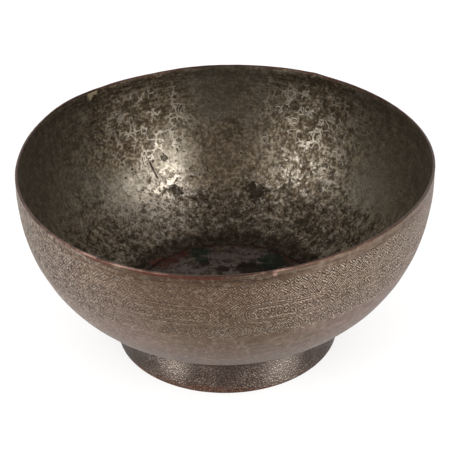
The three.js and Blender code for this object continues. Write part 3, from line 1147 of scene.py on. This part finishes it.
def engraved_tin():
    """Hot-dipped tin on copper, engraved, darkened, rubbed; painted shade in front and under the rim."""
    material, place, (x, y, _) = start("engraved_tin")
    height, edge = kept(place, "height_mm"), kept(place, "edge_mm")
    crisp = crispness(x, y)
    turn, level = by_hand(place, x, y, height)
    marks = engraver_marks(place, turn, level, height, crisp)
    streaks = smeared(place, 16, 1.1)
    grain = patches(place, 0.9)
    blotch = patches(place, 3, 3.0)
    ragged = (patches(place, 6, 4.0) - 0.5) * 2
    cloud = ramp(patches(place, 30, 3.0) + ramp(height, 100, 50) * 0.3, 0.35, 0.85)
    pricked, flecks, pricks = pricking(place, x, height)
    margin = ramp(edge, 11, 4) * ramp(streaks, 0.3, 0.6) * (1.0 - pricked) * (1.0 - ramp(x, 0, 50) * 0.6)
    # A painted shadow just under the rim, at the front
    rim_shadow = ramp(edge + ragged * 0.4, 4.2, 3.2) * ramp(near(place, UNDER_RIM_SHADOW), 0.1, 0.6)
    pale = most([marks.lip, flecks, marks.faces * (crisp * 1.2 + 0.33)])
    cuts = most([marks.line * 0.8, marks.strokes * 0.85, marks.teeth * 0.6, marks.dots * 0.8])
    base = layered(colour(TIN_WARM), [
        (cloud, TIN_PINK),
        # Darker towards the bottom of the wall
        (ramp(height, 66, 36) * 0.45, GRIME),
        # Painted shade over the front
        (near(place, SHADED_FRONT) * 0.7, STAIN),
        (spots(place, ragged, STAINS) * 0.75, STAIN),
        # Painted shadow under the rim
        (rim_shadow * 0.5, GRIME),
        (ramp(streaks, 0.45, 0.75) * 0.5 + margin * 0.55, GRIME),
        (ramp(grain, 0.5, 0.75) * (pricked * 0.15 + 0.3), GRIME),
        (ramp(blotch, 0.5, 0.7) * 0.5, STAIN),
        (ramp(blotch, 0.5, 0.3) * 0.17, TIN_PALE),
        (pale * (crisp * 0.3 + 0.6) + ramp(grain, 0.45, 0.2) * 0.25, TIN_PALE),
        (most([cuts, marks.scribe * 0.5, pricks * 0.9]), GRIME),
    ])
    relief = marks.line * -0.25 + marks.strokes * -0.2 + marks.dots * -0.1 + marks.lip * 0.1
    relief = relief * (crisp * 1.3 + 0.7) + grain * 0.05 + blotch * 0.1 + streaks * 0.08
    metal(worn_edge(place, base, edge, ragged), grain * 0.2 + 0.4, relief)
    return material


print(HATCH_REPEATS, "hatching strokes round the bowl")

# %% [markdown]
# ## Tin lining, inside
#
# The inside was wiped with molten tin, which froze in a crust of small cells. Food and years have turned
# most of it dark, and it is pitted. What is left shines where it mirrors a lamp: bright all over in the
# middle of the light, and only along the thin walls of the cells round it. Those walls are far finer than
# the mesh, so they are mostly drawn in colour, and their pale colour is a painted glint of the lamps.
# Broad soft areas say where the tin is solid, thin, calm, scorched, crusted or broken. The solid areas lie
# where the lamps are mirrored, so they are partly a painted highlight, and the thin ones are partly
# painted shade between and above those highlights. Paler colour towards the left and right sides is
# painted light. On the floor the tin is gone from the edge of the roundel, the trough round it is
# darkened with painted shade, and green verdigris has grown on the copper.

# %% Tin lining
PATINA = "#4D4235"
PATINA_PALE = "#726858"
# Pale tin painted on the crust's walls and ridges as a glint of the lamps
PALE_TIN_GLINT = "#A49B8F"
TIN_BRIGHT = "#827C71"
TIN_DULL = "#7B7268"
TIN_CLEAN = "#B5A98A"
PIT = "#1A140F"
OLIVE = "#65614A"
RUST_BROWN = "#50392C"
VERDIGRIS = "#16281F"
FLOOR_TIN = "#6C605E"
CELL = 5.0
CELL_WARP = 3.8
WARP_SIZE = 5
BUBBLE = 8
BUBBLE_RADIUS = 0.32
TROUGH_RADIUS = 62
BARE_RING_RADIUS = 53.4
# Each area is one or more soft balls, given by their middle and their radius
AREAS = {
    # Solid tin where the lamps are mirrored: partly a painted highlight
    "solid": [
        ((-42, 104, 77), 26), ((-38.5, 97, 58), 40), ((-54, 80, 46), 44), ((-43, 78, 36), 36),
        ((94, 52, 66), 26),
    ],
    # Thin tin, and partly painted shade between and above the lamps' reflections
    "thin": [((0, 104, 60), 36), ((-60, 88, 96), 50)],
    "calm": [((2, 102, 62), 44), ((0, 118, 106), 60)],
    "scorched": [((50, 58, 28), 34), ((6, 76, 32), 32)],
    "crusted": [((-50, 98, 92), 48), ((56, 96, 90), 46)],
    "broken": [((56, 91, 62), 46), ((22, 80, 40), 36), ((-30, 78, 36), 36)],
}
VERDIGRIS_SPOTS = [((-17, 45, 24.7), 7), ((-15, 36, 24.7), 4), ((30, 32, 24.7), 10)]
BURNT_SPOTS = [((-14, 31, 24.7), 4), ((14, 24, 24.7), 8), ((25, 22, 24.7), 8), ((-2, 24, 24.7), 4)]
COPPER_SPOTS = [((-38, 36, 24.7), 9), ((-28, 43, 24.7), 6), ((37, 29, 24.7), 9)]
DARK_SPOTS = [
    ((22.5, 88, 40.7), 6), ((17.4, 91.8, 43.2), 3.5), ((-39, 100, 63), 2.2), ((-31.6, 88.3, 43.6), 4),
    ((-47.5, 95, 66), 2.2), ((-46, 95, 63.5), 1.6),
]
PALE_SPOTS = [((-81.8, 86.2, 115.6), 2.8), ((-79, 88.5, 116), 1.8)]
SCRATCHES = [((-48.4, 95.1, 62.1), (-44.1, 91.1, 53)), ((-56, 89, 52.5), (-52, 90, 48.5))]
SCRATCH_HALF = 0.5


def scratches(place):
    """1 along a few straight cuts, given by their two ends."""
    found = []
    for start_point, end_point in SCRATCHES:
        along = Vector(end_point) - Vector(start_point)
        from_start = add_node(place.tree, "VectorMath", {0: place, 1: start_point}, operation="SUBTRACT")
        to = {0: from_start, 1: along / along.length_squared}
        share = add_node(place.tree, "VectorMath", to, out="Value", operation="DOT_PRODUCT")
        share = np.minimum(np.maximum(share, 0.0), 1.0)
        closest = add_node(place.tree, "VectorMath", {0: along, "Scale": share}, operation="SCALE")
        found.append(ramp(distance(from_start, closest), SCRATCH_HALF * 1.5, SCRATCH_HALF * 0.7))
    return most(found)


def lining_here(place, x, y, z):
    """What the parts of the lining share: places, noises, and how much of each area is here."""
    here = SimpleNamespace(**{kind: near(place, places) for kind, places in AREAS.items()})
    here.x, here.z, here.radius = x, z, np.sqrt(x * x + y * y)
    swirl = {"Vector": place, "Scale": 1 / WARP_SIZE, "Detail": 2.0}
    shift = add_node(place.tree, "TexNoise", swirl, out="Color")
    warp = {0: shift, 1: (CELL_WARP,) * 3, 2: place}
    here.warped = add_node(place.tree, "VectorMath", warp, operation="MULTIPLY_ADD")
    here.fine = patches(place, 1.3, 3.0)
    here.ragged = (patches(place, 4, 4.0) + here.fine * 0.7 - 0.85) * 1.6
    here.wiped = (smeared(place, 12, 1.2) - 0.5) * (ramp(z, 84, 104) * 0.5 + 0.15)
    here.low = ramp(z, 56, 38)
    return here


def crumbs(here, size, roughness):
    """Noise with much fine detail, pulled about as the crust is."""
    sources = {"Vector": here.warped, "Scale": 1 / size, "Detail": 6.0, "Roughness": roughness}
    return add_node(here.warped.tree, "TexNoise", sources)


def crust_walls(place, here):
    """The thin walls of the crust's cells, and the curls of bubbles in it."""
    web = ramp(cells(here.warped, CELL, "DISTANCE_TO_EDGE"), 0.13, 0.04)
    curl = ramp(abs(cells(here.warped, BUBBLE) - BUBBLE_RADIUS), 0.07, 0.02)
    share = ramp(patches(place, 7, 3.0), 0.44, 0.58) * (here.crusted * 1.5 + 0.05)
    return np.maximum(web * 0.8, curl) * share * (1.0 - here.solid * 0.3) * ramp(here.z, 113, 103)


def tin_left(place, here, walls):
    """How much tin is left: more than 0 where it hides the crust, and less where it doesn't."""
    contrast = here.broken * 2.2 + ramp(here.z, 66, 50) * 0.8 + 0.8 - here.crusted * 0.4
    left = (crumbs(here, 4, 0.76) - 0.5) * 2.0 + here.wiped + (here.fine - 0.5) * 0.8
    left = left * contrast * (1.0 - here.calm * 0.6)
    left = left + (patches(place, 20) - 0.5) * 0.5 + walls * 0.9 - here.crusted * 0.5
    left = left + (patches(place, 9, 3.0) - 0.5) * here.broken * 0.8
    left = left + (patches(place, 2.6, 4.0) - 0.5) * here.broken * 1.6
    # Solid areas add tin, partly as a painted highlight; thin areas take it away, partly as painted shade
    return left + here.solid * 0.52 - here.thin * 0.5 - ramp(here.z, 88, 104) * 0.06


def scorching(here):
    """Where the lining has burnt black, mostly low down."""
    heat = ramp(here.z, 60, 36) * 0.05 + here.scorched * 0.05 - here.solid * 0.1
    burnt = ramp(crumbs(here, 4.5, 0.78) + heat, 0.5, 0.62)
    return burnt * ramp(here.z, 70, 44) * (1.0 - here.calm * 0.5)


def crust_colour(place, here):
    """Patina, paler in specks, paler towards the sides as painted light, and darker or browner in patches.
    """
    speckled = ramp(patches(place, 2, 5.0) + here.wiped, 0.46, 0.6) * (1.0 - here.calm * 0.5)
    cloudy = ramp(patches(place, 5, 4.0) + ramp(here.z, 96, 114) * 0.05, 0.44, 0.58)
    # Painted light: the patina is paler towards the left and right sides
    painted_side_light = ramp(abs(here.x), 75, 112)
    return layered(colour(PATINA), [
        (speckled + painted_side_light * 0.4, PATINA_PALE),
        (cloudy * (0.5 - here.calm * 0.25 - painted_side_light * 0.15), PIT),
        (ramp(patches(place, 8), 0.52, 0.7) * (here.broken * 0.2 + 0.12), RUST_BROWN),
    ])


def metal_colour(place, here):
    """The tin's own colour: duller low down, and olive in patches higher up."""
    olive = ramp(patches(place, 11), 0.48, 0.7) * ramp(here.z, 45, 75)
    return layered(colour(TIN_BRIGHT), [(here.low, TIN_DULL), (olive * 0.22, OLIVE)])


def floor_coats(place, here):
    """Coats of the floor: scrubbed tin, painted shade in the trough, bare copper, burnt spots and
    verdigris.
    """
    on_floor = ramp(here.z, 31, 27)
    scrubbed = ramp(patches(place, 6, 4.0), 0.4, 0.58) * on_floor * ramp(here.radius, 56, 46)
    # Painted shade in the trough round the roundel
    trough = ramp(abs(here.radius - TROUGH_RADIUS), 9, 3) * on_floor
    ring = ramp(abs(here.radius - BARE_RING_RADIUS + here.ragged * 1.5), 3.4, 1.2) * on_floor
    ring = ring * ramp(patches(place, 6, 4.0), 0.4, 0.56)
    copper = np.maximum(ring, spots(place, here.ragged, COPPER_SPOTS))
    green = spots(place, here.ragged, VERDIGRIS_SPOTS) * ramp(here.fine, 0.75, 0.45)
    return [
        (scrubbed * 0.7, FLOOR_TIN),
        # Painted shade in the trough
        (trough * 0.75, PIT),
        (copper * ramp(patches(place, 2.2, 3.0), 0.3, 0.58) * 0.9, COPPER_RED),
        (spots(place, here.ragged, BURNT_SPOTS) * 0.85, PIT),
        (green * 0.9, VERDIGRIS),
    ]


def tin_lining():
    """Hand-wiped tin on copper, crusted, pitted and dark with use."""
    material, place, (x, y, z) = start("tin_lining")
    here = lining_here(place, x, y, z)
    walls = crust_walls(place, here)
    left = tin_left(place, here, walls)
    burnt = scorching(here)
    tin = np.minimum(np.maximum(left + 0.22 - burnt * 0.4, 0.0), 1.0)
    # Pale tin on the crust's walls, and on its ridges in the broken areas: a painted glint of the lamps
    lip = np.maximum(walls * (0.6 - here.crusted * 0.2), ramp(left, 0.3, 0.9) * here.broken * 0.8)
    pits = ramp(here.fine + here.low * 0.05, 0.63, 0.7)
    dark = most([pits, scratches(place), spots(place, here.ragged * 1.5, DARK_SPOTS)])
    base = mixed(tin, crust_colour(place, here), metal_colour(place, here))
    base = layered(base, [
        (lip, PALE_TIN_GLINT),
        (burnt * 0.65, PIT),
        (ramp(here.fine, 0.5, 0.68) * 0.4, PIT),
        *floor_coats(place, here),
        (dark * 0.85, PIT),
        (spots(place, here.ragged, PALE_SPOTS) * 0.7, TIN_CLEAN),
    ])
    bare = ramp(kept(place, "edge_mm") + (patches(place, 10) - 0.5) * 4, 0.4, 0.0)
    base = mixed(bare, base, copper_colour(place))
    relief = walls * 0.02 + here.fine * 0.05 + tin * 0.06 - dark * 0.15 + patches(place, 9) * 0.2
    metal(base, 0.53 - tin * 0.25, relief)
    return material


print(len(VERDIGRIS_SPOTS), "patches of verdigris on the floor")

# %% [markdown]
# ## Punched tin, on the foot
#
# The foot was matted all over with a blunt punch, and it is darker than the bowl, because grime holds in
# the dents. The ridges between them are rubbed pale, and the lowest edge is bare copper from standing on
# tables. Two pale patches in front are painted highlights, and the foot's left and right ends are
# darkened with painted shade. The depth that the mesh kept on each vertex tells the material what is dent
# and what is ridge.

# %% Punched tin
FOOT_DARK = "#3C302A"
FOOT_RIDGE = "#8C8077"
BLOW_SIZE = 1.1
FOOT_WEAR = [((-12, -66, 1), 50)]
# Painted highlights: pale patches where the lamps would glint on the foot
FOOT_PAINTED_HIGHLIGHTS = [((32, -59, 12), 20), ((-32, -58, 14), 16)]
FOOT_COPPER = "#523A2F"


def punched_tin():
    """Hot-dipped tin on copper, matted with a punch, dark in the dents and rubbed on the ridges."""
    material, place, (x, _, z) = start("punched_tin")
    fine = patches(place, 0.7, 3.0)
    cloud = ramp(patches(place, 12, 4.0), 0.35, 0.65)
    blows = cells(place, BLOW_SIZE)
    ridge = ramp(kept(place, "punch"), 0.7, 0.1) * 0.5 + ramp(blows, 0.3, 0.7) * 0.5
    worn_low = near(place, FOOT_WEAR) * 3
    rubbed = ramp(z + (patches(place, 5) - 0.5) * 6 - worn_low, 2.0, -0.4)
    base = layered(colour(FOOT_DARK), [
        # Pale patches at the front are painted highlights
        (ridge * (cloud * 0.2 + 0.2) + near(place, FOOT_PAINTED_HIGHLIGHTS) * 0.75, FOOT_RIDGE),
        (ramp(fine, 0.52, 0.66) * 0.3, GRIME),
        # Darker towards the top of the foot, just under the bowl
        (ramp(z, 15.5, 18.5) * 0.7, GRIME),
        # Painted shade: the foot's left and right ends darkened
        (ramp(abs(x), 44, 64) * 0.5, GRIME),
        (rubbed * 0.8, FOOT_COPPER),
    ])
    metal(base, 0.24 + fine * 0.12, ramp(blows, 0.1, 0.8) * 0.3 + fine * 0.05)
    return material


print("the foot is punched every", PUNCH_SIZE, "mm")

# %% [markdown]
# ## Solder and brass
#
# Soft solder is tin and lead: grey, dull and a little waxy where it was wiped. Brass spelter is yellower
# than copper, and dark where the flux burnt.

# %% Solder and spelter
SOLDER_GREY = "#77736C"
SOLDER_DARK = "#4C4740"
SPELTER_YELLOW = "#9A7B4A"
SPELTER_DARK = "#54412A"


def cast_metal(name, bright, dark, grain_size):
    """A metal that flowed and froze: clouded, with a fine skin."""
    material, place, _ = start(name)
    skin_noise = patches(place, grain_size, 3.0)
    base = layered(colour(dark), [(ramp(patches(place, 4, 3.0), 0.35, 0.65), bright)])
    metal(base, 0.38 + skin_noise * 0.2, skin_noise * 0.05)
    return material


print("solder is", SOLDER_GREY, "and spelter", SPELTER_YELLOW)

# %% [markdown]
# ## Putting it together
#
# Each piece gets its materials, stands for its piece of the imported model, and rides on the one body.

# %% Pieces
def add_piece(mesh, materials, node):
    """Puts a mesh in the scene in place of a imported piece."""
    for material in materials:
        mesh.materials.append(material)
    piece = bpy.data.objects.new(mesh.name, mesh)
    bpy.context.scene.collection.objects.link(piece)
    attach(piece, "root")
    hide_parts(node)


slot_of_side = {OUTSIDE: 0, OVER_EDGE: 1, INSIDE: 2}
body_mesh.polygons.foreach_set("material_index", [slot_of_side[rows[k][3]] for k in face_rows])
add_piece(body_mesh, [engraved_tin(), bare_copper(), tin_lining()], "bowl_body")
add_piece(foot_mesh, [punched_tin()], "foot_ring")
solder = cast_metal("soft_solder", SOLDER_GREY, SOLDER_DARK, 0.8)
spelter = cast_metal("brass_spelter", SPELTER_YELLOW, SPELTER_DARK, 0.6)
add_piece(spelter_mesh, [spelter], "foot_seam_spelter")
add_piece(outer_bead_mesh, [solder], "outer_solder_bead")
add_piece(inner_bead_mesh, [solder], "inner_solder_bead")
